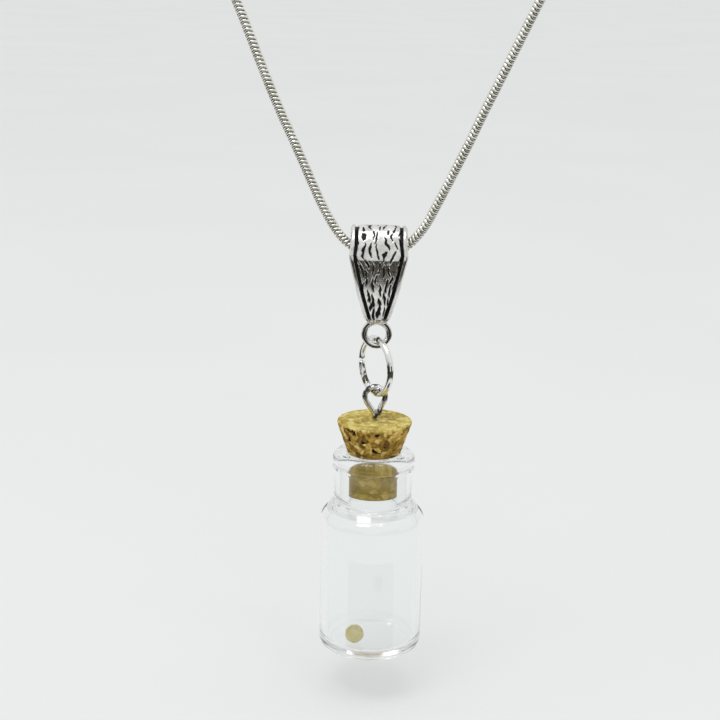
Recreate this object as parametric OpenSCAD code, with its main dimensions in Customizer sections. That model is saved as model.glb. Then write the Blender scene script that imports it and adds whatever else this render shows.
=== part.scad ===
// Corked glass sample vial worn as a pendant: vial, cork, screw eye, jump ring, bail and snake chain.
// Millimetres. Origin at the centre of the vial's flat base, +Z up, front towards -Y.

/* [Glass vial] */
// Outer diameter of the vial's body
body_od = 13; // [11:0.1:17]
// Height of the glass from base to lip
glass_height = 26; // [21:0.1:34]
// Length of the neck between lip and shoulder
neck_length = 4; // [3:0.1:5]
// Height of the shoulder between neck and straight side
shoulder_height = 2.8; // [2.6:0.1:3.6]
// Wall thickness of the body
wall = 0.9; // [0.6:0.05:1.2]
// Thickness of the vial's floor
floor_thickness = 1; // [0.6:0.05:1.6]
// Outer diameter of the neck
neck_od = 9.8; // [8:0.1:10.5]
// Bore of the neck, which the cork fills
neck_bore = 6.1; // [4.5:0.05:7.4]
// Outer diameter of the rolled lip
lip_od = 10.3; // [9.9:0.1:12]
// Height of the rolled lip
lip_height = 2; // [1.2:0.1:2.6]
// Outer rounding of the base
base_round = 1.1; // [0.5:0.1:1.5]

/* [Grain] */
// Diameter of the sample grain in the vial
grain_d = 2.4; // [1:0.1:3]
// How far the grain lies left of the vial's axis
grain_left = 1.9; // [0:0.1:2.4]
// How far the grain lies in front of the vial's axis
grain_front = 2.3; // [0:0.1:2.4]

/* [Cork] */
// Diameter of the cork's top face
cork_top_d = 9.3; // [8:0.1:12]
// How far the cork swells over the rounded mouth, on each side
cork_swell = 0.3; // [0.2:0.05:0.8]
// Height of the cork above the lip
cork_proud = 4.1; // [3:0.1:7]
// Depth of the cork below the lip
cork_depth = 5.4; // [3.5:0.1:7]
// Radial clearance between cork and bore
cork_clearance = 0.03; // [0.01:0.01:0.08]

/* [Screw eye] */
// Outer diameter of the eye
eye_od = 3.2; // [2.8:0.1:4.5]
// Diameter of the eye's wire and its plain shank
eye_wire = 0.7; // [0.5:0.05:0.9]
// Length of plain shank between eye and cork
eye_neck = 1.4; // [0.8:0.1:2.5]
// Length of the threaded shank in the cork
thread_length = 5.5; // [4:0.1:6.5]
// Outer diameter of the thread
thread_d = 1.15; // [0.95:0.05:1.4]
// Pitch of the thread
thread_pitch = 0.55; // [0.4:0.05:0.8]

/* [Jump ring] */
// Outer diameter of the jump ring
jump_od = 7.7; // [6.5:0.1:10]
// Diameter of the jump ring's wire
jump_wire = 0.8; // [0.6:0.05:1]
// Turn of the jump ring about the vertical
jump_turn = -59.5; // [-75:0.5:-40]
// Width of the cut where the ring was closed, in degrees
jump_cut = 3; // [1:0.5:8]

/* [Bail] */
// Outer diameter of the bail's bottom ring
ring_od = 3.8; // [3.4:0.1:5]
// Diameter of the bottom ring's wire
ring_wire = 0.8; // [0.6:0.05:0.95]
// Height from the bottom ring's centre to the loop's centre
bail_reach = 10.76; // [9.5:0.02:14]
// Thickness of the strap over the chain
strap = 1.3; // [0.9:0.05:1.6]
// Width of the bail over the chain
bail_top_w = 6.8; // [5:0.1:6.9]
// Width of the bail at its ears, the widest place
bail_ear_w = 7.1; // [6:0.1:8.5]
// Width of the bail at its foot
bail_foot_w = 3.3; // [2.6:0.1:4]
// Width of each raised edge rail
rail_w = 0.6; // [0.3:0.05:0.9]
// Depth of the bark panel below the rails
panel_depth = 0.2; // [0.1:0.05:0.3]

/* [Chain and clasp] */
// Diameter of the snake chain
chain_d = 1.2; // [0.9:0.05:1.4]
// Outer diameter of the end caps
cap_d = 2; // [1.8:0.1:2.6]
// Length of each end cap
cap_length = 3.2; // [2.6:0.1:5]
// Depth of the chain in its cap
cap_depth = 2.2; // [1.5:0.1:2.3]
// Outer diameter of the small rings on caps and clasp
link_od = 2.6; // [2.4:0.1:3.4]
// Wire diameter of the small rings
link_wire = 0.6; // [0.4:0.05:0.65]
// Outer diameter of the free ring at the right end
end_ring_od = 4.6; // [3.6:0.1:6]
// Outer diameter of the clasp's hook
hook_od = 5.4; // [4.6:0.1:7]
// Thickness of the clasp's body
clasp_t = 2.2; // [1.8:0.1:3]
// Thickness of the clasp's lever
lever_t = 0.9; // [0.7:0.05:1]
// Diameter of the lever's hinge pin
pin_d = 0.6; // [0.5:0.05:0.7]

/* [Fits] */
// Clearance between rings that hang in each other
hang_gap = 0.03; // [0.02:0.01:0.06]
// Clearance between the chain and what it passes through
chain_clearance = 0.05; // [0.03:0.01:0.1]
// Radial clearance of the hinge pin in the lever
pin_clearance = 0.03; // [0.01:0.01:0.08]

/* [Hidden] */
$fn = 64;
tiny = 0.01;

// Heights, stacked up from the base
cork_foot_z = glass_height - cork_depth;
cork_top_z = glass_height + cork_proud;
eye_z = cork_top_z + eye_neck + eye_od / 2;
eye_hang_z = eye_z + (eye_od - eye_wire) / 2;
jump_low_z = eye_hang_z - eye_wire / 2 - jump_wire / 2 - hang_gap;
jump_r = (jump_od - jump_wire) / 2;
jump_z = jump_low_z + jump_r;
jump_high_z = jump_z + jump_r;
ring_low_z = jump_high_z - jump_wire / 2 - ring_wire / 2 - hang_gap;
ring_z = ring_low_z + (ring_od - ring_wire) / 2;
loop_z = ring_z + bail_reach;

// Chain centreline from the loop's centre, in X and Z, left end to right end
CHAIN = [
    [-20.2, 35.7], [-18.6, 32], [-17.1, 28.5], [-15.7, 25.1], [-14.4, 21.8], [-13.1, 18.6],
    [-11.7, 15.4], [-10.2, 12.2], [-8.7, 8.9], [-7.2, 5.6], [-5.8, 3], [-4.4, 1.05],
    [-3, -0.05], [-1.5, -0.6], [0, -0.75], [1.5, -0.6], [3, 0], [4.4, 1.2],
    [5.8, 3.2], [7.2, 6], [8.8, 9.3], [10.4, 12.7], [11.9, 16.1], [13.6, 19.8],
    [15.2, 23.3], [16.8, 26.8], [18.4, 30.3], [20, 33.8]];
CHAIN_BEND_STEPS = 2;
CHAIN_SIDES = 8;
chain_low = -CHAIN[14][1];
loop_hole_r = chain_low + chain_d / 2 + chain_clearance;
loop_r = loop_hole_r + strap;

// Where each chain end sits, and how far it leans from the vertical
left_end = CHAIN[0];
right_end = CHAIN[len(CHAIN) - 1];
left_lean = atan2(left_end[0] - CHAIN[1][0], left_end[1] - CHAIN[1][1]);
right_lean = atan2(right_end[0] - CHAIN[len(CHAIN) - 2][0], right_end[1] - CHAIN[len(CHAIN) - 2][1]);

// Points of an arc in a plane, both ends included
function arc(x, y, r, from, to, steps) =
    [for (i = [0:steps]) let (a = from + (to - from) * i / steps) [x + r * cos(a), y + r * sin(a)]];

// Outline of a big circle at the origin joined by tangents to a small one below it
function teardrop(big, small, drop) =
    let (lean = asin((big - small) / drop))
    concat(arc(0, 0, big, -lean, 180 + lean, 28), arc(0, -drop, small, 180 + lean, 360 - lean, 10));

// Ring of round wire in the XZ plane, from angle start over sweep degrees
module wire_ring(od, wire, start = 0, sweep = 360) {
    rotate([90, 0, 0])
        rotate([0, 0, start])
            rotate_extrude(angle = sweep)
                translate([(od - wire) / 2, 0])
                    circle(d = wire);
}

// ---- Vial and what is in it ----

inner_r = body_od / 2 - wall;
bore_r = neck_bore / 2;
inner_round = 0.9;
mouth_round = 0.5;
shoulder_round = 1.5;
shoulder_turn = 62;
neck_fillet = 0.9;
bore_fillet = 0.8;
glass_drop = 0.4;
neck_foot_z = glass_height - lip_height - neck_length;
side_height = neck_foot_z - shoulder_height;

module glass_vial() {
    neck_r = neck_od / 2;
    lip_r = lip_od / 2;
    lip_edge = lip_height * 0.45;
    outside = concat(
        arc(body_od / 2 - base_round, base_round, base_round, -90, 0, 8),
        arc(body_od / 2 - shoulder_round, side_height, shoulder_round, 0, shoulder_turn, 8),
        arc(neck_r + neck_fillet, neck_foot_z, neck_fillet, 180 + shoulder_turn, 180, 6),
        [[neck_r, glass_height - lip_height]],
        arc(lip_r - lip_edge, glass_height - lip_height + lip_edge, lip_edge, -50, 0, 4),
        arc(lip_r - lip_edge, glass_height - lip_edge, lip_edge, 0, 90, 6));
    inside = concat(
        arc(bore_r + mouth_round, glass_height - mouth_round, mouth_round, 90, 180, 6),
        arc(bore_r + bore_fillet, neck_foot_z - glass_drop, bore_fillet, 180, 250, 6),
        arc(inner_r - shoulder_round, side_height - glass_drop, shoulder_round, 66, 0, 8),
        arc(inner_r - inner_round, floor_thickness + inner_round, inner_round, 0, -90, 6));
    color("lightcyan", 0.4)
        rotate_extrude()
            polygon(concat([[0, 0]], outside, inside, [[0, floor_thickness]]));
}

module grain() {
    color("darkkhaki")
        translate([-grain_left, -grain_front, floor_thickness + grain_d / 2])
            sphere(d = grain_d);
}

// ---- Stopper ----

module cork_stopper() {
    plug_r = bore_r - cork_clearance;
    top_r = cork_top_d / 2;
    edge = 0.25;
    // The plug widens at 45 degrees, just clear of the mouth's rounding
    swell_z = glass_height - 2 * mouth_round * (1 - cos(45)) + cork_clearance;
    mouth_r = bore_r + cork_swell;
    color("peru")
        difference() {
            rotate_extrude()
                polygon([
                    [0, cork_foot_z], [plug_r - edge, cork_foot_z], [plug_r, cork_foot_z + edge],
                    [plug_r, swell_z], [mouth_r, swell_z + mouth_r - plug_r],
                    [top_r, cork_top_z - edge], [top_r - edge, cork_top_z], [0, cork_top_z]]);
            translate([0, 0, cork_top_z - thread_length])
                cylinder(d = eye_wire, h = thread_length + tiny);
        }
}

module screw_eye() {
    point = 0.9;
    point_d = 0.1;
    plain_top = 0.4;
    eye_gap_start = -50;
    eye_sweep = 320;
    ridge = thread_pitch * 0.35;
    foot_z = cork_top_z - thread_length;
    turns = floor((thread_length - point - plain_top) / thread_pitch);
    color("silver") {
        translate([0, 0, eye_z])
            wire_ring(eye_od, eye_wire, eye_gap_start, eye_sweep);
        translate([0, 0, foot_z + point])
            cylinder(d = eye_wire, h = eye_z - eye_od / 2 + eye_wire / 2 - foot_z - point);
        translate([0, 0, foot_z])
            cylinder(d1 = point_d, d2 = eye_wire, h = point);
        for (i = [0:turns - 1])
            translate([0, 0, foot_z + point + i * thread_pitch]) {
                cylinder(d1 = eye_wire, d2 = thread_d, h = ridge);
                translate([0, 0, ridge])
                    cylinder(d1 = thread_d, d2 = eye_wire, h = ridge);
            }
    }
}

// ---- Hanging metal ----

module jump_ring() {
    color("silver")
        translate([0, 0, jump_z])
            rotate([0, 0, jump_turn])
                wire_ring(jump_od, jump_wire, 180 + jump_cut / 2, 360 - jump_cut);
}

// Front outline of the bail, narrowed by an inset on both sides
module bail_front(inset) {
    top_x = bail_top_w / 2 - inset;
    top_z = loop_z + loop_r + 1;
    step_z = loop_z + 0.4;
    ear_x = bail_ear_w / 2 - inset;
    ear_z = loop_z - 0.55;
    foot_x = bail_foot_w / 2 - inset;
    foot_z = ring_z + ring_od / 2 + 0.3;
    waist_x = foot_x + (ear_x - foot_x) * 0.42;
    waist_z = (ear_z + ring_z) / 2 - 0.2;
    tip_x = foot_x * 0.7;
    tip_z = foot_z - 1;
    polygon([
        [-top_x, top_z], [-top_x, step_z], [-ear_x, ear_z], [-waist_x, waist_z],
        [-foot_x, foot_z], [-tip_x, tip_z], [tip_x, tip_z], [foot_x, foot_z],
        [waist_x, waist_z], [ear_x, ear_z], [top_x, step_z], [top_x, top_z]]);
}

// The bail's side outline, drawn across its whole width
module bail_side(big, small, drop) {
    translate([0, 0, loop_z])
        rotate([90, 0, 90])
            linear_extrude(height = bail_ear_w + 2, center = true)
                polygon(teardrop(big, small, drop));
}

module bail() {
    foot_r = 0.75;
    foot_overlap = 0.4;
    drop = bail_reach - ring_od / 2 - foot_r + foot_overlap;
    slot_foot_r = 0.25;
    slot_share = 0.65;
    depth = 2 * loop_r + 2;
    color("silver") {
        difference() {
            union() {
                intersection() {
                    bail_side(loop_r - panel_depth, foot_r - panel_depth, drop);
                    rotate([90, 0, 0])
                        linear_extrude(height = depth, center = true)
                            bail_front(0);
                }
                intersection() {
                    bail_side(loop_r, foot_r, drop);
                    rotate([90, 0, 0])
                        linear_extrude(height = depth, center = true)
                            difference() {
                                bail_front(0);
                                bail_front(rail_w);
                            }
                }
            }
            bail_side(loop_hole_r, slot_foot_r, drop * slot_share);
        }
        translate([0, 0, ring_z])
            wire_ring(ring_od, ring_wire);
    }
}

// ---- Chain ----

// A point of the chain's centreline by a Catmull-Rom curve through the route
function route_point(i, t) =
    let (last = len(CHAIN) - 1,
         a = CHAIN[max(i - 1, 0)], b = CHAIN[i], c = CHAIN[min(i + 1, last)], d = CHAIN[min(i + 2, last)])
    0.5 * (2 * b + (c - a) * t + (2 * a - 5 * b + 4 * c - d) * t * t
           + (3 * b - a - 3 * c + d) * t * t * t);

// Centreline with extra points where the chain bends through the bail
function centreline() =
    [for (i = [0:len(CHAIN) - 1])
        let (steps = (i >= 10 && i <= 17) ? CHAIN_BEND_STEPS : 1)
            for (k = [0:steps - 1]) route_point(i, k / steps)];

module snake_chain() {
    path = centreline();
    last = len(path) - 1;
    points = [for (i = [0:last])
        let (way = path[min(i + 1, last)] - path[max(i - 1, 0)],
             unit = way / norm(way))
            for (k = [0:CHAIN_SIDES - 1])
                let (a = 360 * k / CHAIN_SIDES, out = chain_d / 2 * cos(a))
                    [path[i][0] - unit[1] * out, chain_d / 2 * sin(a), path[i][1] + unit[0] * out]];
    sides = [for (i = [0:last - 1]) for (k = [0:CHAIN_SIDES - 1])
        let (n = (k + 1) % CHAIN_SIDES, row = i * CHAIN_SIDES)
            [row + k, row + n, row + CHAIN_SIDES + n, row + CHAIN_SIDES + k]];
    start_face = [for (k = [CHAIN_SIDES - 1:-1:0]) k];
    end_face = [for (k = [0:CHAIN_SIDES - 1]) last * CHAIN_SIDES + k];
    color("gainsboro")
        translate([0, 0, loop_z])
            polyhedron(points = points, faces = concat([start_face], sides, [end_face]));
}

// Puts children at a chain end, their +Z along the chain and away from the bail
module at_end(end, lean) {
    translate([end[0], 0, loop_z + end[1]])
        rotate([0, lean, 0])
            children();
}

// Crimped cap with a ring on its closed end
module end_cap() {
    foot = -cap_depth;
    difference() {
        translate([0, 0, foot])
            cylinder(d = cap_d, h = cap_length);
        translate([0, 0, foot - tiny])
            cylinder(d = chain_d + 2 * chain_clearance, h = cap_depth + tiny);
    }
    translate([0, 0, cap_ring_z])
        wire_ring(link_od, link_wire);
}

cap_ring_z = cap_length - cap_depth + link_od / 2 - link_wire / 2;
link_step = link_od - link_wire - link_wire / 2 - link_wire / 2 - hang_gap;
clasp_ring_z = cap_ring_z + link_step;
clasp_z = clasp_ring_z + link_step;

module end_cap_left() {
    color("silver")
        at_end(left_end, left_lean)
            end_cap();
}

module end_cap_right() {
    color("silver")
        at_end(right_end, right_lean)
            end_cap();
}

module end_ring() {
    color("silver")
        at_end(right_end, right_lean)
            translate([0, 0, cap_ring_z + (link_od - link_wire) / 2 - link_wire - hang_gap
                             + (end_ring_od - link_wire) / 2])
                rotate([0, 0, 90])
                    wire_ring(end_ring_od, link_wire);
}

module clasp_ring() {
    color("silver")
        at_end(left_end, left_lean)
            translate([0, 0, clasp_ring_z])
                rotate([0, 0, 90])
                    wire_ring(link_od, link_wire);
}

// ---- Lobster clasp, in its own frame: ring at the origin, hook above it ----

shank = 1.2;
hook_wall = 1.05;
hook_z = link_od / 2 + hook_od / 2 + shank;
hook_bore_r = hook_od / 2 - hook_wall;
pin_x = 1.35;
pin_z = link_od / 2 + 0.55;
knuckle_r = 0.75;
slot_x = 0.5;
slot_t = lever_t + 2 * pin_clearance;
spring_d = 0.7;

module at_clasp() {
    at_end(left_end, left_lean)
        translate([0, 0, clasp_z])
            children();
}

// A flat shape in XZ with a thickness across Y
module plate(thickness) {
    rotate([90, 0, 0])
        linear_extrude(height = thickness, center = true)
            children();
}

module clasp_body() {
    opening_low = 0.8;
    opening_high = 0.95;
    shank_left = -1.9;
    shank_w = 4.05;
    shank_foot = link_od / 2 - 0.35;
    through = clasp_t + 1;
    color("silver")
        at_clasp() {
            difference() {
                plate(clasp_t) {
                    translate([0, hook_z])
                        circle(d = hook_od);
                    translate([shank_left, shank_foot])
                        square([shank_w, hook_z - 0.65 - shank_foot]);
                }
                plate(through)
                    translate([0, hook_z])
                        circle(r = hook_bore_r);
                plate(through)
                    translate([hook_bore_r - 0.3, hook_z - opening_low])
                        square([hook_od / 2, opening_low + opening_high]);
                plate(slot_t)
                    translate([slot_x, 0])
                        square([hook_od, hook_z + 0.3]);
                translate([pin_x, 0, pin_z])
                    rotate([90, 0, 0])
                        cylinder(d = pin_d, h = through, center = true);
            }
            wire_ring(link_od, link_wire);
        }
}

module clasp_lever() {
    tip_z = hook_z + 0.65;
    side_x = hook_od / 2;
    color("silver")
        at_clasp()
            difference() {
                plate(lever_t) {
                    translate([pin_x, pin_z])
                        circle(r = knuckle_r);
                    polygon([
                        [pin_x - 0.1, pin_z], [pin_x + 0.7, pin_z],
                        [side_x + 0.2, hook_z - 1.1], [side_x + 1, hook_z - 1.2],
                        [side_x + 0.9, hook_z - 0.7], [side_x - 0.1, hook_z - 0.2],
                        [side_x - 0.15, tip_z], [hook_bore_r + 0.1, tip_z],
                        [hook_bore_r - 0.05, hook_z - 0.6]]);
                }
                translate([pin_x, 0, pin_z])
                    rotate([90, 0, 0])
                        cylinder(d = pin_d + 2 * pin_clearance, h = lever_t + 1, center = true);
            }
}

module clasp_pin() {
    color("gray")
        at_clasp()
            translate([pin_x, 0, pin_z])
                rotate([90, 0, 0])
                    cylinder(d = pin_d, h = clasp_t, center = true);
}

module clasp_spring() {
    spring_wire = 0.16;
    coils = 6;
    coil_step = 0.14;
    color("gray")
        at_clasp()
            translate([slot_x, 0, pin_z + knuckle_r + 0.4])
                rotate([0, 90, 0])
                    for (i = [0:coils - 1])
                        translate([0, 0, spring_wire / 2 + i * coil_step])
                            rotate_extrude()
                                translate([(spring_d - spring_wire) / 2, 0])
                                    circle(d = spring_wire);
}

glass_vial();
grain();
cork_stopper();
screw_eye();
jump_ring();
bail();
snake_chain();
end_cap_left();
end_cap_right();
clasp_ring();
clasp_body();
clasp_lever();
clasp_pin();
clasp_spring();
end_ring();
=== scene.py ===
import math
import random

import bpy
import numpy as np
from mathutils import Matrix, Vector, noise


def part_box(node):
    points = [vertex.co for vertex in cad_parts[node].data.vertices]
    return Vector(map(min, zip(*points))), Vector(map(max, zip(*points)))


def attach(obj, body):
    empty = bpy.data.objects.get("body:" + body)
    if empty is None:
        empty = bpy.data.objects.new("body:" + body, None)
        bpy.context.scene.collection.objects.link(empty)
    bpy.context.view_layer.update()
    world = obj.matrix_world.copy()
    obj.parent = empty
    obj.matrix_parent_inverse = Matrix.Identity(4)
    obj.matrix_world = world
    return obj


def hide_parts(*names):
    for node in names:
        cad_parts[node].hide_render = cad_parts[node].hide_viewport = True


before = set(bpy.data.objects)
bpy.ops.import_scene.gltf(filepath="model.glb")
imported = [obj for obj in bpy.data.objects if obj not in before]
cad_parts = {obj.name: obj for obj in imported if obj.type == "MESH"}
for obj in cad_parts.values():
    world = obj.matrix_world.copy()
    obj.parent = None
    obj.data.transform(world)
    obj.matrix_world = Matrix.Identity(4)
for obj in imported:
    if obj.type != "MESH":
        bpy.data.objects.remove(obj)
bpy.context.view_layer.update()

MM = 0.001
UP = Vector((0, 0, 1))
ACROSS = Vector((0, 1, 0))


# ---- Geometry helpers -------------------------------------------------------

def mesh_object(name, points, faces, **point_values):
    """A piece from points and faces, with named per-point values that its material can read."""
    mesh = bpy.data.meshes.new(name)
    mesh.from_pydata([tuple(p) for p in points], [], faces)
    for key, values in point_values.items():
        layer = mesh.attributes.new(key, "FLOAT", "POINT")
        layer.data.foreach_set("value", np.asarray(values, np.float32))
    mesh.polygons.foreach_set("use_smooth", [True] * len(mesh.polygons))
    mesh.validate()
    mesh.update()
    made = bpy.data.objects.new(name, mesh)
    bpy.context.scene.collection.objects.link(made)
    return made


def finished(piece, body, slot, material, *nodes):
    """Gives a piece its material and body, and lets it stand for its CAD nodes."""
    piece.data.materials.clear()
    piece.data.materials.append(material)
    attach(piece, body)
    if nodes:
        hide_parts(*nodes)
    return piece


def arc(x, y, radius, start, end, steps):
    """Points of an arc in a plane, angles in degrees, both ends included."""
    angles = [math.radians(start + (end - start) * i / steps) for i in range(steps + 1)]
    return [(x + radius * math.cos(a), y + radius * math.sin(a)) for a in angles]


def bent(start, pull, end, steps):
    """Points of a curve from start to end, drawn towards pull, both ends included."""
    return [start * (1 - t) ** 2 + pull * 2 * t * (1 - t) + end * t * t
            for t in (i / steps for i in range(steps + 1))]


def smoothstep(low, high, value):
    t = min(max((value - low) / (high - low), 0.0), 1.0)
    return t * t * (3 - 2 * t)


def resampled(outline, step):
    """The same outline with points no further apart than step."""
    out = [outline[0]]
    for a, b in zip(outline, outline[1:]):
        parts = max(1, math.ceil(math.dist(a, b) / step))
        out += [(a[0] + (b[0] - a[0]) * i / parts, a[1] + (b[1] - a[1]) * i / parts)
                for i in range(1, parts + 1)]
    return out


def turned_faces(rings, turns):
    """Faces between rings of points, and a fan at each end to the two points that follow the rings."""
    faces = [(i * turns + k, i * turns + (k + 1) % turns,
              (i + 1) * turns + (k + 1) % turns, (i + 1) * turns + k)
             for i in range(rings - 1) for k in range(turns)]
    first, last, base = rings * turns, rings * turns + 1, (rings - 1) * turns
    faces += [(first, (k + 1) % turns, k) for k in range(turns)]
    faces += [(last, base + k, base + (k + 1) % turns) for k in range(turns)]
    return faces


def lathe(name, outline, turns, relief=None):
    """Turns an outline of (radius, height) about Z; it starts and ends on the axis."""
    inner = outline[1:-1]
    angles = [2 * math.pi * k / turns for k in range(turns)]
    points = [Vector((r * math.cos(a), r * math.sin(a), z)) for r, z in inner for a in angles]
    points += [Vector((0, 0, outline[0][1])), Vector((0, 0, outline[-1][1]))]
    faces = turned_faces(len(inner), turns)
    if not relief:
        return mesh_object(name, points, faces)
    moved = [relief(p) for p in points]
    return mesh_object(name, [p for p, _ in moved], faces, depth=[depth for _, depth in moved])


def grid_tube(name, rings, closed, **point_values):
    """Joins rings of points, each the same length, into a tube with flat or joined ends."""
    sides = len(rings[0])
    points = [p for ring in rings for p in ring]
    spans = len(rings) if closed else len(rings) - 1
    faces = []
    for i in range(spans):
        low, high = i * sides, ((i + 1) % len(rings)) * sides
        for k in range(sides):
            n = (k + 1) % sides
            faces.append((low + k, low + n, high + n, high + k))
    if not closed:
        faces.append(tuple(range(sides - 1, -1, -1)))
        top = (len(rings) - 1) * sides
        faces.append(tuple(range(top, top + sides)))
    return mesh_object(name, points, faces, **point_values)


def wire_rings(path, radius, sides, normal, closed=False):
    """Rings of a round wire along a flat path; radius is a number or a function of the place 0 to 1."""
    rings = []
    last = len(path) - 1
    for i, p in enumerate(path):
        before = path[i - 1] if closed or i else path[0]
        after = path[(i + 1) % len(path)] if closed or i < last else path[last]
        along = (after - before).normalized()
        out = along.cross(normal).normalized()
        r = radius(i / last) if callable(radius) else radius
        rings.append([p + (out * math.cos(a) + normal * math.sin(a)) * r
                      for a in (2 * math.pi * k / sides for k in range(sides))])
    return rings


def blunt(radius, length, edge):
    """Wire radius along a piece of that length whose two ends are rounded over edge."""
    def at(place):
        from_end = min(place, 1 - place) * length
        if from_end >= edge:
            return radius
        return radius * (0.35 + 0.65 * math.sqrt(max(0.0, 1 - (1 - from_end / edge) ** 2)))
    return at


def ring_path(centre, side, top, radius, start=0.0, sweep=360.0, steps=96):
    """Points round a circle in the plane of the unit vectors side and top."""
    closed = sweep >= 360
    count = steps if closed else steps + 1
    angles = [math.radians(start + sweep * i / steps) for i in range(count)]
    return [centre + (side * math.cos(a) + top * math.sin(a)) * radius for a in angles]


def wire_loop(name, centre, side, top, od, wire, start=0.0, sweep=360.0, steps=96, sides=20):
    """A ring of round wire, whole or with a cut."""
    radius = (od - wire) / 2
    closed = sweep >= 360
    path = ring_path(centre, side, top, radius, start, sweep, steps)
    thickness = wire / 2 if closed else blunt(wire / 2, radius * math.radians(sweep), wire * 0.12)
    return grid_tube(name, wire_rings(path, thickness, sides, side.cross(top), closed), closed)


def joined(name, *pieces, **point_values):
    """One piece from several."""
    points, faces = [], []
    for piece in pieces:
        start = len(points)
        points += [v.co.copy() for v in piece.data.vertices]
        faces += [tuple(start + i for i in f.vertices) for f in piece.data.polygons]
        bpy.data.objects.remove(piece)
    return mesh_object(name, points, faces, **point_values)


# ---- Camera, at the photograph's angle --------------------------------------

CAMERA_PLACE = Vector((-1.97, -178.1, 86.6)) * MM
CAMERA_DOWN = 15.34
CAMERA_ROLL = 1.21
CAMERA_LENS = 75


def make_camera():
    data = bpy.data.cameras.new("camera")
    data.lens = CAMERA_LENS
    data.sensor_width = 36
    data.clip_start = 0.01
    data.clip_end = 10
    camera = bpy.data.objects.new("camera", data)
    bpy.context.scene.collection.objects.link(camera)
    camera.matrix_world = (
        Matrix.Translation(CAMERA_PLACE)
        @ Matrix.Rotation(math.radians(90 - CAMERA_DOWN), 4, "X")
        @ Matrix.Rotation(math.radians(CAMERA_ROLL), 4, "Z"))
    bpy.context.scene.camera = camera


make_camera()


# ---- Materials ---------------------------------------------------------------

CORK_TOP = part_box("cork_stopper")[1].z


def new_material(name):
    material = bpy.data.materials.new(name)
    material.use_nodes = True
    tree = material.node_tree
    shader = tree.nodes["Principled BSDF"]
    return material, tree, shader


def add(tree, kind, values=None, **settings):
    """A node with its settings, and its inputs set by name or number."""
    node = tree.nodes.new(kind)
    for key, value in settings.items():
        setattr(node, key, value)
    for key, value in (values or {}).items():
        node.inputs[key].default_value = value
    return node


def own_place(tree):
    return add(tree, "ShaderNodeTexCoord").outputs["Object"]


def noise_of(tree, place, scale, detail=3.0, roughness=0.55, stretch=None):
    if stretch:
        mapping = add(tree, "ShaderNodeMapping", {"Scale": stretch})
        tree.links.new(place, mapping.inputs["Vector"])
        place = mapping.outputs["Vector"]
    node = add(tree, "ShaderNodeTexNoise", {"Scale": scale, "Detail": detail, "Roughness": roughness})
    tree.links.new(place, node.inputs["Vector"])
    return node.outputs["Fac"]


def ramp(tree, value, *stops):
    """Colour ramp from stops of (place, colour)."""
    node = add(tree, "ShaderNodeValToRGB")
    elements = node.color_ramp.elements
    while len(elements) < len(stops):
        elements.new(0.5)
    for element, (place, colour) in zip(elements, stops):
        element.position = place
        element.color = (*colour, 1)
    tree.links.new(value, node.inputs["Fac"])
    return node.outputs["Color"]


def span(tree, value, low, high, to_low, to_high):
    """Maps a value from one range to another, clamped."""
    node = add(tree, "ShaderNodeMapRange", {
        "From Min": low, "From Max": high, "To Min": to_low, "To Max": to_high})
    tree.links.new(value, node.inputs["Value"])
    return node.outputs["Result"]


def mixed(tree, factor, a, b, blend="MIX"):
    node = add(tree, "ShaderNodeMix", data_type="RGBA", blend_type=blend)
    for socket, value in ((node.inputs["Factor"], factor), (node.inputs["A"], a), (node.inputs["B"], b)):
        if isinstance(value, bpy.types.NodeSocket):
            tree.links.new(value, socket)
        elif isinstance(value, tuple):
            socket.default_value = (*value, 1)
        else:
            socket.default_value = value
    return node.outputs["Result"]


def bumped(tree, shader, height, strength, distance):
    node = add(tree, "ShaderNodeBump", {"Strength": strength, "Distance": distance})
    tree.links.new(height, node.inputs["Height"])
    tree.links.new(node.outputs["Normal"], shader.inputs["Normal"])
    return node


def point_value(tree, name):
    return add(tree, "ShaderNodeAttribute", attribute_name=name).outputs["Fac"]


def metal(name, bright, dull_and_dark_reflection, low_rough, high_rough, grain=2500.0, bump=0.05, shade_link_gaps=False,
          patch=700.0, edges=(0.35, 0.62)):
    """Bare or plated metal: patches of duller plate, fine scratches and uneven gloss; where the dull tone
    is near black the patches are painted dark reflections, and the chain's option paints shade into the
    gaps between its links.
    """
    material, tree, shader = new_material(name)
    place = own_place(tree)
    shader.inputs["Metallic"].default_value = 1.0
    patches = noise_of(tree, place, patch, 4.0, 0.6)
    colour = ramp(tree, patches, (edges[0], dull_and_dark_reflection), (edges[1], bright))
    # Painted shade: where the point value is low the colour goes near black, standing in for the shade in
    # the gaps where a chain's plates nest.
    if shade_link_gaps:
        colour = mixed(tree, point_value(tree, "wear"), (0.05, 0.047, 0.036), colour)
    tree.links.new(colour, shader.inputs["Base Color"])
    gloss = noise_of(tree, place, grain, 3.0, 0.6)
    tree.links.new(span(tree, gloss, 0.3, 0.7, low_rough, high_rough), shader.inputs["Roughness"])
    bumped(tree, shader, gloss, bump, 0.00004)
    return material


def make_glass():
    material, tree, shader = new_material("vial_glass")
    place = own_place(tree)
    shader.inputs["Base Color"].default_value = (0.985, 0.995, 0.995, 1)
    shader.inputs["Transmission Weight"].default_value = 1.0
    shader.inputs["IOR"].default_value = 1.5
    smear = noise_of(tree, place, 260.0, 4.0, 0.6)
    tree.links.new(span(tree, smear, 0.45, 0.8, 0.0, 0.06), shader.inputs["Roughness"])
    waves = noise_of(tree, place, 160.0, 2.0, 0.5, (1.0, 1.0, 0.25))
    bumped(tree, shader, waves, 0.1, 0.0002)
    return material


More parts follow.
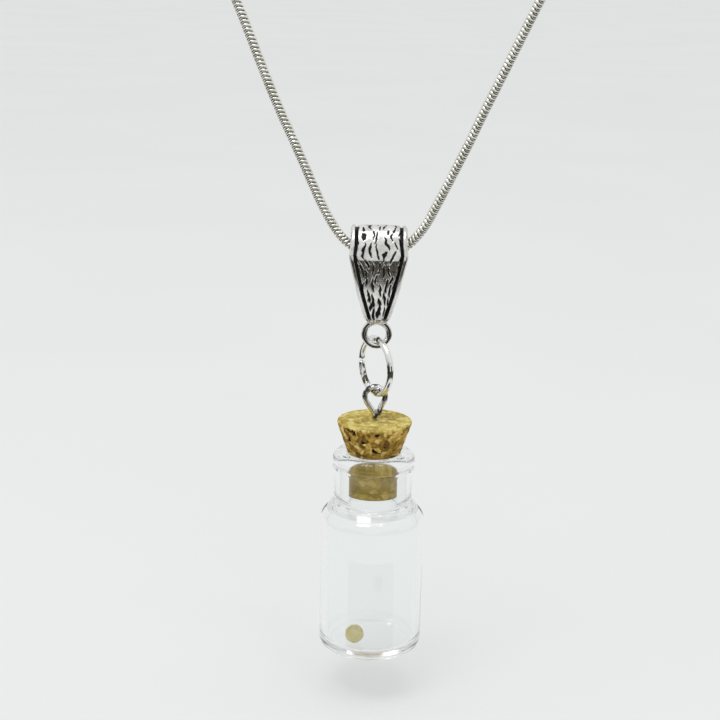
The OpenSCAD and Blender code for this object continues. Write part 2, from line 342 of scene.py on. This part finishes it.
def make_cork():
    """Smooth pale cut top, coarser golden side with seams between granules and black pits."""
    material, tree, shader = new_material("cork")
    place = own_place(tree)
    granules = add(tree, "ShaderNodeTexVoronoi", {"Scale": 1450.0, "Randomness": 1.0})
    tree.links.new(place, granules.inputs["Vector"])
    each = add(tree, "ShaderNodeSeparateColor")
    tree.links.new(granules.outputs["Color"], each.inputs["Color"])
    fine_shade = noise_of(tree, place, 1100.0, 5.0, 0.75)
    shade = add(tree, "ShaderNodeMix", {"Factor": 0.42}, data_type="FLOAT")
    tree.links.new(fine_shade, shade.inputs["A"])
    tree.links.new(each.outputs["Red"], shade.inputs["B"])
    shade = shade.outputs["Result"]
    side_tone = ramp(tree, shade, (0.25, (0.09, 0.045, 0.008)), (0.42, (0.27, 0.155, 0.02)),
                     (0.56, (0.50, 0.31, 0.05)), (0.74, (0.84, 0.63, 0.22)))
    top_tone = ramp(tree, shade, (0.25, (0.34, 0.235, 0.045)), (0.5, (0.54, 0.42, 0.1)),
                    (0.74, (0.76, 0.66, 0.25)))
    parts = add(tree, "ShaderNodeSeparateXYZ")
    tree.links.new(place, parts.inputs["Vector"])
    top = span(tree, parts.outputs["Z"], CORK_TOP - 0.35 * MM, CORK_TOP - 0.1 * MM, 0.0, 1.0)
    colour = mixed(tree, top, side_tone, top_tone)
    cells = add(tree, "ShaderNodeTexVoronoi", {"Scale": 1250.0, "Randomness": 1.0},
                feature="DISTANCE_TO_EDGE")
    tree.links.new(place, cells.inputs["Vector"])
    seams = span(tree, cells.outputs["Distance"], 0.0, 0.16, 0.6, 0.0)
    patchy = noise_of(tree, place, 500.0, 2.0, 0.5)
    strong = add(tree, "ShaderNodeMath", operation="MULTIPLY")
    tree.links.new(seams, strong.inputs[0])
    tree.links.new(span(tree, patchy, 0.4, 0.65, 0.0, 1.0), strong.inputs[1])
    colour = mixed(tree, strong.outputs["Value"], colour, (0.14, 0.075, 0.015))
    pits = span(tree, point_value(tree, "depth"), 0.05, 0.75, 0.0, 1.0)
    colour = mixed(tree, pits, colour, (0.02, 0.009, 0.004))
    # Painted light: inside the glass neck the plug is mixed halfway to an even golden tone, standing in for
    # the light that the glass holds back from it.
    painted_neck_light = span(tree, parts.outputs["Z"], CORK_TOP - 4.2 * MM, CORK_TOP - 4.6 * MM, 0.0, 0.5)
    colour = mixed(tree, painted_neck_light, colour, (0.52, 0.38, 0.02))
    tree.links.new(colour, shader.inputs["Base Color"])
    shader.inputs["Roughness"].default_value = 0.85
    shader.inputs["Specular IOR Level"].default_value = 0.25
    fine = noise_of(tree, place, 3200.0, 4.0, 0.7)
    bumped(tree, shader, fine, 0.5, 0.00012)
    return material


def make_grain():
    material, tree, shader = new_material("grain_skin")
    place = own_place(tree)
    shade = noise_of(tree, place, 1400.0, 4.0, 0.6)
    colour = ramp(tree, shade, (0.3, (0.82, 0.68, 0.28)), (0.5, (0.93, 0.82, 0.4)),
                  (0.7, (0.98, 0.92, 0.55)))
    tree.links.new(colour, shader.inputs["Base Color"])
    shader.inputs["Roughness"].default_value = 0.7
    fine = noise_of(tree, place, 5200.0, 3.0, 0.6)
    bumped(tree, shader, fine, 0.4, 0.00006)
    return material


def make_bail_metal():
    """Antique finish: bright on the ridges, black in the grooves, brown patina between."""
    material, tree, shader = new_material("antique_silver")
    place = own_place(tree)
    patches = noise_of(tree, place, 800.0, 4.0, 0.6)
    bright = ramp(tree, patches, (0.35, (0.66, 0.645, 0.61)), (0.6, (0.9, 0.895, 0.88)))
    wear = point_value(tree, "wear")
    dark = mixed(tree, span(tree, wear, 0.25, 0.6, 0.0, 1.0),
                 (0.004, 0.004, 0.004), (0.05, 0.042, 0.032))
    tree.links.new(mixed(tree, span(tree, wear, 0.45, 0.75, 0.0, 1.0), dark, bright),
                   shader.inputs["Base Color"])
    tree.links.new(span(tree, wear, 0.35, 0.7, 0.35, 1.0), shader.inputs["Metallic"])
    gloss = noise_of(tree, place, 2600.0, 3.0, 0.6)
    polished = span(tree, gloss, 0.3, 0.7, 0.12, 0.24)
    rough = add(tree, "ShaderNodeMix", data_type="FLOAT")
    tree.links.new(span(tree, wear, 0.4, 0.75, 0.0, 1.0), rough.inputs["Factor"])
    rough.inputs["A"].default_value = 0.6
    tree.links.new(polished, rough.inputs["B"])
    tree.links.new(rough.outputs["Result"], shader.inputs["Roughness"])
    bumped(tree, shader, gloss, 0.08, 0.00004)
    return material


GLASS = make_glass()
CORK = make_cork()
GRAIN = make_grain()
ANTIQUE = make_bail_metal()
# The chain's plate has painted shade in the gaps between its links.
CHAIN_METAL = metal("chain_plate", (0.93, 0.925, 0.875), (0.7, 0.69, 0.6), 0.14, 0.28, 3600.0, 0.08,
                    shade_link_gaps=True)
BRIGHT = metal("bright_plate", (0.86, 0.86, 0.855), (0.66, 0.655, 0.64), 0.08, 0.2, 2600.0, 0.05)
# Painted dark reflections: the jump ring's and screw eye's plate gets sharp near-black patches that stand
# in for the dark surroundings it reflects.
RING_PLATE_PAINTED_REFLECTIONS = metal("ring_plate_painted_reflections", (0.86, 0.86, 0.85), (0.1, 0.085, 0.065), 0.08, 0.2, 2600.0, 0.05,
                   patch=420.0, edges=(0.38, 0.44))
EYE_PLATE_PAINTED_REFLECTIONS = metal("eye_plate_painted_reflections", (0.8, 0.8, 0.79), (0.07, 0.065, 0.06), 0.12, 0.3, 3000.0, 0.08,
                  edges=(0.45, 0.52))
STEEL = metal("spring_steel", (0.6, 0.6, 0.6), (0.42, 0.42, 0.42), 0.2, 0.36, 3000.0, 0.06)


# ---- Snake chain, drawn along a taut route ----------------------------------

BAIL_LOOP_R = 2.7 * MM
LOOP = Vector((0, 0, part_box("bail")[1].z - BAIL_LOOP_R))
LINK_PITCH = 0.5 * MM
LINK_WAVE = 0.13 * MM

# The centreline from the loop's centre, in X and Z, left end to right end, in millimetres
CHAIN_ROUTE = [
    (-20.2, 35.7), (-18.6, 32), (-17.1, 28.5), (-15.7, 25.1), (-14.4, 21.8), (-13.1, 18.6),
    (-11.7, 15.4), (-10.2, 12.2), (-8.7, 8.9), (-7.2, 5.6), (-5.8, 3), (-4.4, 1.05),
    (-3, -0.05), (-1.5, -0.6), (0, -0.75), (1.5, -0.6), (3, 0), (4.4, 1.2),
    (5.8, 3.2), (7.2, 6), (8.8, 9.3), (10.4, 12.7), (11.9, 16.1), (13.6, 19.8),
    (15.2, 23.3), (16.8, 26.8), (18.4, 30.3), (20, 33.8)]


def smooth_route(route, parts):
    """The route as a Catmull-Rom curve."""
    points = [LOOP + Vector((x, 0, z)) * MM for x, z in route]
    last = len(points) - 1
    curve = []
    for i in range(last):
        a, b, c, d = (points[min(max(i + k, 0), last)] for k in (-1, 0, 1, 2))
        for k in range(parts):
            t = k / parts
            curve.append(0.5 * (2 * b + (c - a) * t + (2 * a - 5 * b + 4 * c - d) * t * t
                                + (3 * b - a - 3 * c + d) * t ** 3))
    return curve + [points[last]]


def make_chain():
    """Thin cupped plates nested along the route, each a wavy band with a rounded rim."""
    path = smooth_route(CHAIN_ROUTE, 24)
    reach = [0.0]
    for a, b in zip(path, path[1:]):
        reach.append(reach[-1] + (b - a).length)
    total = reach[-1]
    links = round(total / LINK_PITCH)
    pitch = total / links
    sides = 28
    profile = ((0.02, 0.44), (0.12, 0.55), (0.32, 0.597), (0.6, 0.6), (0.82, 0.565), (0.96, 0.45))
    rings, wear = [], []
    place = 0
    for link in range(links):
        for share, radius in profile:
            s = (link + share) * pitch
            while place < len(path) - 2 and reach[place + 1] < s:
                place += 1
            t = (s - reach[place]) / (reach[place + 1] - reach[place])
            centre = path[place].lerp(path[place + 1], t)
            along = (path[place + 1] - path[place]).normalized()
            out = along.cross(ACROSS)
            ends = min(1.0, s / (4 * pitch), (total - s) / (4 * pitch))
            ring = []
            for k in range(sides):
                a = 2 * math.pi * k / sides
                wave = LINK_WAVE * ends * math.cos(2 * a + math.radians(35))
                ring.append(centre + (out * math.cos(a) + ACROSS * math.sin(a)) * radius * MM
                            + along * wave)
            rings.append(ring)
            # Painted shade: low at the narrow rims where one plate nests in the next, which the chain's
            # material paints near black.
            wear += [smoothstep(0.45, 0.56, radius)] * sides
    chain = grid_tube("chain_links", rings, closed=False, wear=wear)
    finished(chain, "chain", "silver_chain", CHAIN_METAL, "snake_chain")


make_chain()


# ---- Glass vial ---------------------------------------------------------------

VIAL_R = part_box("glass_vial")[1].x
VIAL_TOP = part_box("glass_vial")[1].z
WALL = 0.9 * MM
FLOOR_T = 1.0 * MM
NECK_R = 4.9 * MM
BORE_R = 3.05 * MM
LIP_R = 5.15 * MM
LIP_H = 2.0 * MM
NECK_LENGTH = 4.0 * MM
SHOULDER_H = 2.8 * MM
SHOULDER_ROUND = 1.5 * MM
BASE_ROUND = 1.1 * MM
MOUTH_ROUND = 0.5 * MM
FLOOR_FILLET = 0.9 * MM
NECK_FILLET = 0.9 * MM
BORE_FILLET = 0.8 * MM
LIP_FILLET = 0.3 * MM
LIP_FILLET_DROP = 0.25 * MM
INSIDE_DROP = 0.4 * MM
SHOULDER_TURN, INSIDE_TURN = 62, 66


def vial_outline():
    inner = VIAL_R - WALL
    neck_foot = VIAL_TOP - LIP_H - NECK_LENGTH
    side = neck_foot - SHOULDER_H
    lip_edge = LIP_H * 0.45
    outside = (
        arc(VIAL_R - BASE_ROUND, BASE_ROUND, BASE_ROUND, -90, 0, 20)
        + arc(VIAL_R - SHOULDER_ROUND, side, SHOULDER_ROUND, 0, SHOULDER_TURN, 16)
        + arc(NECK_R + NECK_FILLET, neck_foot, NECK_FILLET, 242, 180, 12)
        + arc(NECK_R + LIP_FILLET, VIAL_TOP - LIP_H - LIP_FILLET_DROP, LIP_FILLET, 180, 110, 6)
        + arc(LIP_R - lip_edge, VIAL_TOP - LIP_H + lip_edge, lip_edge, -60, 0, 8)
        + arc(LIP_R - lip_edge, VIAL_TOP - lip_edge, lip_edge, 0, 90, 12))
    inside = (
        arc(BORE_R + MOUTH_ROUND, VIAL_TOP - MOUTH_ROUND, MOUTH_ROUND, 90, 180, 12)
        + arc(BORE_R + BORE_FILLET, neck_foot - INSIDE_DROP, BORE_FILLET, 180, 250, 10)
        + arc(inner - SHOULDER_ROUND, side - INSIDE_DROP, SHOULDER_ROUND, INSIDE_TURN, 0, 16)
        + arc(inner - FLOOR_FILLET, FLOOR_T + FLOOR_FILLET, FLOOR_FILLET, 0, -90, 16))
    return [(0, 0)] + outside + inside + [(0, FLOOR_T)]


def make_vial():
    vial = lathe("vial_glass", vial_outline(), 160)
    finished(vial, "vial", "clear_glass", GLASS, "glass_vial")


make_vial()


# ---- Cork and grain ------------------------------------------------------------

CORK_LOW, CORK_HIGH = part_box("cork_stopper")
PLUG_CLEARANCE = 0.03 * MM
PLUG_R = BORE_R - PLUG_CLEARANCE
CORK_MOUTH_R = 3.35 * MM
SWELL_Z = VIAL_TOP - 0.26 * MM

# In millimetres
PIT_DEPTH = 0.34
CRACK_HEIGHT = 21.6


def cork_outline():
    edge = 0.25 * MM
    top_r = CORK_HIGH.x
    top, foot = CORK_HIGH.z, CORK_LOW.z
    outline = ([(0, foot)]
               + arc(PLUG_R - edge, foot + edge, edge, -90, 0, 4)
               + [(PLUG_R, SWELL_Z), (CORK_MOUTH_R, SWELL_Z + CORK_MOUTH_R - PLUG_R)]
               + arc(top_r - edge, top - edge, edge, -15, 90, 5)
               + [(0, top)])
    return resampled(outline, 0.07 * MM)


def cork_relief(p):
    """Granule lumps all over, and deep ragged pits on the exposed side."""
    r = math.hypot(p.x, p.y)
    if r < 1e-9:
        return p, 0.0
    free = smoothstep(VIAL_TOP + 0.1 * MM, VIAL_TOP + 0.6 * MM, p.z)
    side = smoothstep(CORK_HIGH.z - 0.02 * MM, CORK_HIGH.z - 0.3 * MM, p.z)
    out = Vector((p.x / r, p.y / r, 0)) * side + UP * (1 - side)
    q = p / MM
    lumps = noise.noise(q * 1.5) * 0.07 + noise.noise(q * 4.0) * 0.035
    cell = noise.voronoi(q * 0.8 + Vector((3.1, 0.7, 5.2)))[0]
    ragged = noise.noise(q * 2.6 + Vector((9, 4, 2))) * 0.24
    pit = smoothstep(0.3, 0.16, cell[0] + ragged) * (side + 0.05 * (1 - side))
    flecks = smoothstep(0.34, 0.6, noise.noise(q * 2.9 + Vector((5, 8, 1)))) * 0.45 * side
    ring_crack = smoothstep(0.09, 0.02, abs(q.z - CRACK_HEIGHT + noise.noise(q * 0.9) * 0.25))
    depth = max(pit, flecks, ring_crack)
    lift = lumps * (0.25 + 0.75 * free) * (0.3 + 0.7 * side) - depth * PIT_DEPTH * free
    if free < 0.5:
        lift = min(lift, 0.0) - 0.05 * ring_crack
    return p + out * lift * MM, depth * (0.6 + 0.4 * free)


def make_cork_piece():
    cork = lathe("cork_plug", cork_outline(), 300, relief=cork_relief)
    finished(cork, "stopper", "cork", CORK, "cork_stopper")


def make_grain_piece():
    low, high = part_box("grain")
    centre = (low + high) / 2
    radius = (high.x - low.x) / 2
    turns, rows = 72, 44
    points = []
    for i in range(1, rows):
        polar = math.pi * i / rows
        for k in range(turns):
            a = 2 * math.pi * k / turns
            out = Vector((math.sin(polar) * math.cos(a), math.sin(polar) * math.sin(a),
                          -math.cos(polar)))
            lumps = noise.noise(out * 1.3 + Vector((2, 5, 1))) * 0.06 + noise.noise(out * 4.5) * 0.02
            points.append(centre + out * radius * min(1.0, 0.955 + lumps))
    points += [centre - UP * radius * 0.98, centre + UP * radius * 0.97]
    grain = mesh_object("sample_grain", points, turned_faces(rows - 1, turns))
    finished(grain, "grain", "grain", GRAIN, "grain")


make_cork_piece()
make_grain_piece()


# ---- Screw eye and jump ring -----------------------------------------------------

EYE_OD = 3.2 * MM
EYE_WIRE = 0.7 * MM
EYE_CENTRE = Vector((0, 0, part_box("screw_eye")[1].z - EYE_OD / 2))
THREAD_R = 1.15 * MM / 2
THREAD_PITCH = 0.55 * MM
EYE_POINT = 0.9 * MM
EYE_START, EYE_SWEEP = -35, 250
THREAD_START = 0.35 * MM


def make_screw_eye():
    """Bent wire: eye, sideways bend and shank in one sweep, with a cut thread below."""
    radius = (EYE_OD - EYE_WIRE) / 2
    right = Vector((1, 0, 0))
    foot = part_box("screw_eye")[0].z
    eye = ring_path(EYE_CENTRE, right, UP, radius, EYE_START, EYE_SWEEP, 84)
    free_end = Vector((0.42, -0.34, 0)) * MM + UP * (CORK_HIGH.z + 0.55 * MM)
    joint = Vector((0, 0, CORK_HIGH.z + 0.7 * MM))
    lead_in = bent(free_end, eye[0] + (eye[0] - eye[1]).normalized() * 0.7 * MM, eye[0], 10)
    lead_out = bent(eye[-1], eye[-1] + (eye[-1] - eye[-2]).normalized() * 1.3 * MM, joint, 12)
    thread_top = CORK_HIGH.z - THREAD_START
    shank = [Vector((0, 0, joint.z + (thread_top - joint.z) * i / 8)) for i in range(1, 9)]
    path = lead_in[:-1] + eye + lead_out[1:] + shank
    length = sum((b - a).length for a, b in zip(path, path[1:]))
    taper = blunt(EYE_WIRE / 2, length, 0.1 * MM)
    rings = wire_rings(path, lambda t: taper(t) if t < 0.5 else EYE_WIRE / 2, 20, -ACROSS)
    wire = grid_tube("eye_wire", rings, closed=False)

    rows, turns, count = [], 28, 150
    height = thread_top - foot
    for i in range(count + 1):
        z = thread_top - height * i / count
        above = z - foot
        core = EYE_WIRE / 2 * min(1.0, 0.12 + above / EYE_POINT)
        ring = []
        for k in range(turns):
            a = 2 * math.pi * k / turns
            turn = ((z / THREAD_PITCH) + a / (2 * math.pi)) % 1.0
            ridge = max(0.0, 1 - abs(turn - 0.5) / 0.3)
            fade = min(1.0, above / (1.4 * EYE_POINT), (thread_top - z) / (0.6 * MM))
            r = core + (THREAD_R - EYE_WIRE / 2) * ridge * max(0.0, fade)
            ring.append(Vector((r * math.cos(a), -r * math.sin(a), z)))
        rows.append(ring)
    thread = grid_tube("eye_thread", rows, closed=False)
    eye_piece = joined("screw_eye_wire", wire, thread)
    finished(eye_piece, "stopper", "silver_plate", EYE_PLATE_PAINTED_REFLECTIONS, "screw_eye")


JUMP_LOW, JUMP_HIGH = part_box("jump_ring")
JUMP_OD = JUMP_HIGH.z - JUMP_LOW.z
JUMP_WIRE = 0.8 * MM
JUMP_TURN = math.radians(-59.5)
JUMP_START, JUMP_SWEEP = 181.2, 357.6


def make_jump_ring():
    centre = Vector((0, 0, (JUMP_LOW.z + JUMP_HIGH.z) / 2))
    side = Vector((math.cos(JUMP_TURN), math.sin(JUMP_TURN), 0))
    ring = wire_loop("jump_ring_wire", centre, side, UP, JUMP_OD, JUMP_WIRE,
                     JUMP_START, JUMP_SWEEP, 160, 28)
    finished(ring, "jump_ring", "silver_plate", RING_PLATE_PAINTED_REFLECTIONS, "jump_ring")


make_screw_eye()
make_jump_ring()


# ---- Bail --------------------------------------------------------------------------

RING_OD = 3.8 * MM
RING_WIRE = 0.8 * MM
RING_CENTRE = Vector((0, 0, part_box("bail")[0].z + RING_OD / 2))
LOOP_HOLE_R = 1.4 * MM
FOOT_R = 0.75 * MM
BAIL_DROP = LOOP.z - RING_CENTRE.z - RING_OD / 2 - FOOT_R + 0.4 * MM
TOP_HALF = 3.4 * MM
EAR_HALF = 3.55 * MM
WAIST_HALF = 2.45 * MM
FOOT_HALF = 1.65 * MM
RAIL = 0.6 * MM
EAR_Z = LOOP.z - 0.55 * MM

# The strap's relief, in millimetres
STROKE_LANES = 7
STRAP_REACH = 26
STEP_LIFT, BELLY_LIFT, CROWN_LIFT = 0.3, 0.22, 0.12
BARK_DEPTH, TRENCH_DEPTH = 0.16, 0.24
RAIL_LIFT, EDGE_DROP, BASE_DROP = 0.06, 0.22, 0.1


def teardrop(big, small, drop, count):
    """Even points round two circles joined by tangents, the small one below, from its foot up the front."""
    lean = math.degrees(math.asin((big - small) / drop))
    outline = (arc(0, -drop, small, 270, 180 + lean, 24)
               + arc(0, 0, big, 180 + lean, -lean, 120)
               + arc(0, -drop, small, 360 - lean, 270, 24))
    reach = [0.0]
    for a, b in zip(outline, outline[1:]):
        reach.append(reach[-1] + math.dist(a, b))
    xs = np.interp(np.linspace(0, reach[-1], count, endpoint=False), reach, [p[0] for p in outline])
    ys = np.interp(np.linspace(0, reach[-1], count, endpoint=False), reach, [p[1] for p in outline])
    return list(zip(xs, ys))


def bail_half_width(z):
    """Half the bail's width at a height: loop, ears, waist and foot joined smoothly."""
    stops = ((LOOP.z + 0.7 * MM, TOP_HALF), (EAR_Z, EAR_HALF), (EAR_Z - 0.9 * MM, EAR_HALF * 0.96),
             ((EAR_Z + RING_CENTRE.z) / 2, WAIST_HALF),
             (RING_CENTRE.z + RING_OD / 2 + 0.3 * MM, FOOT_HALF),
             (RING_CENTRE.z + RING_OD / 2 - 0.5 * MM, FOOT_HALF * 0.72))
    heights = [s[0] for s in reversed(stops)]
    widths = [s[1] for s in reversed(stops)]
    return float(np.interp(z, heights, widths))


def make_strokes():
    """Bark strokes on the strap, each with its place across, its place along, half-length and weight."""
    strokes = []
    chance = random.Random(11)
    for lane in range(STROKE_LANES):
        along = chance.uniform(-0.6, 0.0)
        while along < STRAP_REACH:
            half = chance.uniform(0.42, 1.0)
            across = -0.86 + 1.72 * (lane + chance.uniform(0.12, 0.88)) / STROKE_LANES
            strokes.append((across, along + half, half, chance.uniform(0.75, 1.35)))
            along += 2 * half + chance.uniform(-0.25, 0.35)
    return strokes


STROKES = make_strokes()


def bark(across, s, half_width):
    """Depth of the bark pattern, 0 on a ridge and 1 in a groove, s along the strap in mm."""
    bend = noise.noise(Vector((across * 1.7, s * 0.5, 7.3))) * 0.2
    wobble = noise.noise(Vector((across * 5.0, s * 1.9, 2.2))) * 0.05
    place = across + bend + wobble
    width = 0.11 * MM * 1.15 / half_width
    deepest = 0.0
    for lane, middle, half, weight in STROKES:
        run = abs(s - middle) / half
        if run < 1 and abs(place - lane) < 3 * width:
            near = abs(place - lane) / (width * weight * math.sqrt(1 - run * run) + 1e-6)
            deepest = max(deepest, smoothstep(1.35, 0.55, near))
    return deepest


def make_bail():
    count, columns, inner_columns, rim = 460, 120, 8, 0.12 * MM
    outer = teardrop(BAIL_LOOP_R, FOOT_R, BAIL_DROP, count)
    inner = teardrop(LOOP_HOLE_R, 0.25 * MM, BAIL_DROP * 0.65, count)
    rings, wear = [], []
    reach = 0.0
    for i, (y, z) in enumerate(outer):
        before, after = outer[i - 1], outer[(i + 1) % count]
        along = Vector((after[0] - before[0], after[1] - before[1])).normalized()
        out = Vector((0, -along.y, along.x))
        reach += math.dist(before, (y, z)) if i else 0.0
        height = LOOP.z + z
        half = bail_half_width(height)
        foot = smoothstep(0.0, 1.0 * MM, height - (LOOP.z - BAIL_DROP - FOOT_R))
        step = smoothstep(EAR_Z + 0.7 * MM, EAR_Z - 0.65 * MM, height)
        belly = math.sin(math.pi * min(max((EAR_Z - height) / (8.3 * MM), 0.0), 1.0))
        ring = []
        for j in range(columns + 1):
            across = -1 + 2 * j / columns
            x = across * half
            edge = half - abs(x)
            rail = smoothstep(RAIL, RAIL - 0.12 * MM, edge)
            round_off = smoothstep(0.0, 0.22 * MM, edge)
            trench = (smoothstep(RAIL + 0.36 * MM, RAIL + 0.2 * MM, edge)
                      * smoothstep(RAIL - 0.14 * MM, RAIL - 0.02 * MM, edge))
            deep = bark(across, reach / MM, half) * (1 - rail) * foot
            crown = CROWN_LIFT * (1 - across * across)
            lift = (crown + STEP_LIFT * step + BELLY_LIFT * belly
                    - BARK_DEPTH * deep - TRENCH_DEPTH * trench * foot
                    + RAIL_LIFT * rail * round_off - EDGE_DROP * (1 - round_off) - BASE_DROP)
            ring.append(Vector((x, y, height)) + out * lift * MM)
            wear.append(1 - max(0.92 * deep, trench * foot))
        side_y, side_z = inner[i]
        side_half = bail_half_width(LOOP.z + side_z)
        hole = Vector((0, side_y, LOOP.z + side_z))
        inward = Vector((0, side_y, side_z)).normalized() if abs(side_y) + abs(side_z) > 1e-9 else UP
        ring.append(hole + Vector((side_half, 0, 0)) + inward * rim)
        for j in range(inner_columns + 1):
            x = side_half - rim - 2 * (side_half - rim) * j / inner_columns
            ring.append(hole + Vector((x, 0, 0)))
        ring.append(hole + Vector((-side_half, 0, 0)) + inward * rim)
        wear += [0.8] * (inner_columns + 3)
        rings.append(ring)
    strap = grid_tube("bail_strap", rings, closed=True)
    path = ring_path(RING_CENTRE, Vector((1, 0, 0)), UP, (RING_OD - RING_WIRE) / 2, steps=120)
    sides = 32
    foot_rings, foot_wear = [], []
    dips = [math.exp(-((2 * math.pi * k / sides - math.radians(72)) / 0.3) ** 2) for k in range(sides)]
    for centre, ring in zip(path, wire_rings(path, RING_WIRE / 2, sides, -ACROSS, closed=True)):
        foot_rings.append([centre + (p - centre) * (1 - 0.3 * dip) for p, dip in zip(ring, dips)])
        foot_wear += [0.85 - 0.85 * dip for dip in dips]
    loop = grid_tube("bail_foot_ring", foot_rings, closed=True)
    bail = joined("bail_casting", strap, loop, wear=wear + foot_wear)
    finished(bail, "bail", "antique_silver", ANTIQUE, "bail")


make_bail()


# ---- End caps, rings and clasp, just above the picture ---------------------------------

for node, material in (("end_cap_left", BRIGHT), ("end_cap_right", BRIGHT), ("clasp_ring", BRIGHT),
                       ("clasp_body", BRIGHT), ("clasp_lever", BRIGHT), ("clasp_pin", STEEL),
                       ("clasp_spring", STEEL), ("end_ring", BRIGHT)):
    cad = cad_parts[node]
    cad.data.materials.clear()
    cad.data.materials.append(material)


# ---- Floor, backdrop and light -----------------------------------------------------------

FLOOR_Z = -6.3 * MM


def make_floor():
    """Wide sheet of pale paper, curving up far behind."""
    half, near, far, radius, high = 2.5, -1.2, 3.2, 0.8, 2.2
    outline = [(near, FLOOR_Z), (far, FLOOR_Z)]
    outline += [(far + radius * math.sin(a), FLOOR_Z + radius * (1 - math.cos(a)))
                for a in (math.pi / 2 * i / 24 for i in range(1, 25))]
    outline.append((far + radius, high))
    points = [(x, y, z) for y, z in outline for x in (-half, half)]
    faces = [(2 * i, 2 * i + 1, 2 * i + 3, 2 * i + 2) for i in range(len(outline) - 1)]
    sweep = mesh_object("backdrop", points, faces)
    material, tree, shader = new_material("paper")
    place = own_place(tree)
    tone = noise_of(tree, place, 9.0, 3.0, 0.5)
    tree.links.new(ramp(tree, tone, (0.3, (0.35, 0.356, 0.354)), (0.7, (0.37, 0.376, 0.374))),
                   shader.inputs["Base Color"])
    shader.inputs["Emission Color"].default_value = (0.83, 0.845, 0.84, 1)
    shader.inputs["Emission Strength"].default_value = 0.52
    shader.inputs["Roughness"].default_value = 0.9
    shader.inputs["Specular IOR Level"].default_value = 0.1
    sweep.data.materials.append(material)


def dark_flag(name, near, far, from_angle, to_angle, near_z, far_z):
    """A dark studio flag, its angles counted from the front, which only shows as a reflection."""
    steps = 24
    angles = [math.radians(-90 + from_angle + (to_angle - from_angle) * i / steps)
              for i in range(steps + 1)]
    points = [(r * math.cos(a), r * math.sin(a), z)
              for a in angles for r, z in ((near, near_z), (far, far_z))]
    faces = [(2 * i, 2 * i + 1, 2 * i + 3, 2 * i + 2) for i in range(steps)]
    flag = mesh_object(name, points, faces)
    material, _, shader = new_material(name)
    shader.inputs["Base Color"].default_value = (0.05, 0.046, 0.032, 1)
    shader.inputs["Roughness"].default_value = 0.9
    shader.inputs["Specular IOR Level"].default_value = 0.0
    flag.data.materials.append(material)
    flag.visible_camera = False
    flag.visible_diffuse = False
    flag.visible_transmission = False
    flag.visible_shadow = False


def area_light(name, place, target, size, size_y, power):
    data = bpy.data.lights.new(name, "AREA")
    data.shape = "RECTANGLE"
    data.size, data.size_y = size, size_y
    data.energy = power
    light = bpy.data.objects.new(name, data)
    bpy.context.scene.collection.objects.link(light)
    place = Vector(place)
    light.location = place
    light.rotation_euler = (Vector(target) - place).to_track_quat("-Z", "Y").to_euler()


def make_world():
    """Even white room light."""
    world = bpy.data.worlds.new("room")
    world.use_nodes = True
    bpy.context.scene.world = world
    tree = world.node_tree
    place = add(tree, "ShaderNodeTexCoord").outputs["Generated"]
    parts = add(tree, "ShaderNodeSeparateXYZ")
    tree.links.new(place, parts.inputs["Vector"])
    tone = ramp(tree, span(tree, parts.outputs["Z"], -1.0, 1.0, 0.0, 1.0),
                (0.0, (0.8, 0.81, 0.81)), (0.5, (0.8, 0.815, 0.81)), (1.0, (1.0, 1.0, 1.0)))
    back = tree.nodes["Background"]
    tree.links.new(tone, back.inputs["Color"])
    back.inputs["Strength"].default_value = 0.9


make_floor()
make_world()
LOW = FLOOR_Z + 0.5 * MM
HIGH = 0.062

# Each flag's near and far radius, first and last angle, and height at the near and far edge
dark_flag("flag_far", 0.07, 0.27, -115, 115, LOW, LOW)
dark_flag("flag_near", 0.017, 0.032, -46, 46, LOW, 0.003)
dark_flag("flag_left", 0.15, 0.15, -62, -20, LOW, HIGH)
dark_flag("flag_right", 0.15, 0.15, 20, 62, LOW, HIGH)

# Each light's place, target, width, length and power
area_light("top_softbox", (0.0, -0.05, 0.6), (0, 0, 0.03), 0.3, 0.25, 0.3)
area_light("left_window", (-0.14, -0.2, 0.48), (0, 0, 0.04), 0.22, 0.1, 0.5)
area_light("right_lamp", (0.12, -0.16, 0.5), (0, 0, 0.04), 0.06, 0.05, 0.12)

bpy.context.scene.view_settings.view_transform = "Standard"

# Thick clear glass needs more bounces than usual, or its base and neck go black
bpy.context.scene.cycles.max_bounces = 24
bpy.context.scene.cycles.glossy_bounces = 16
bpy.context.scene.cycles.transmission_bounces = 20
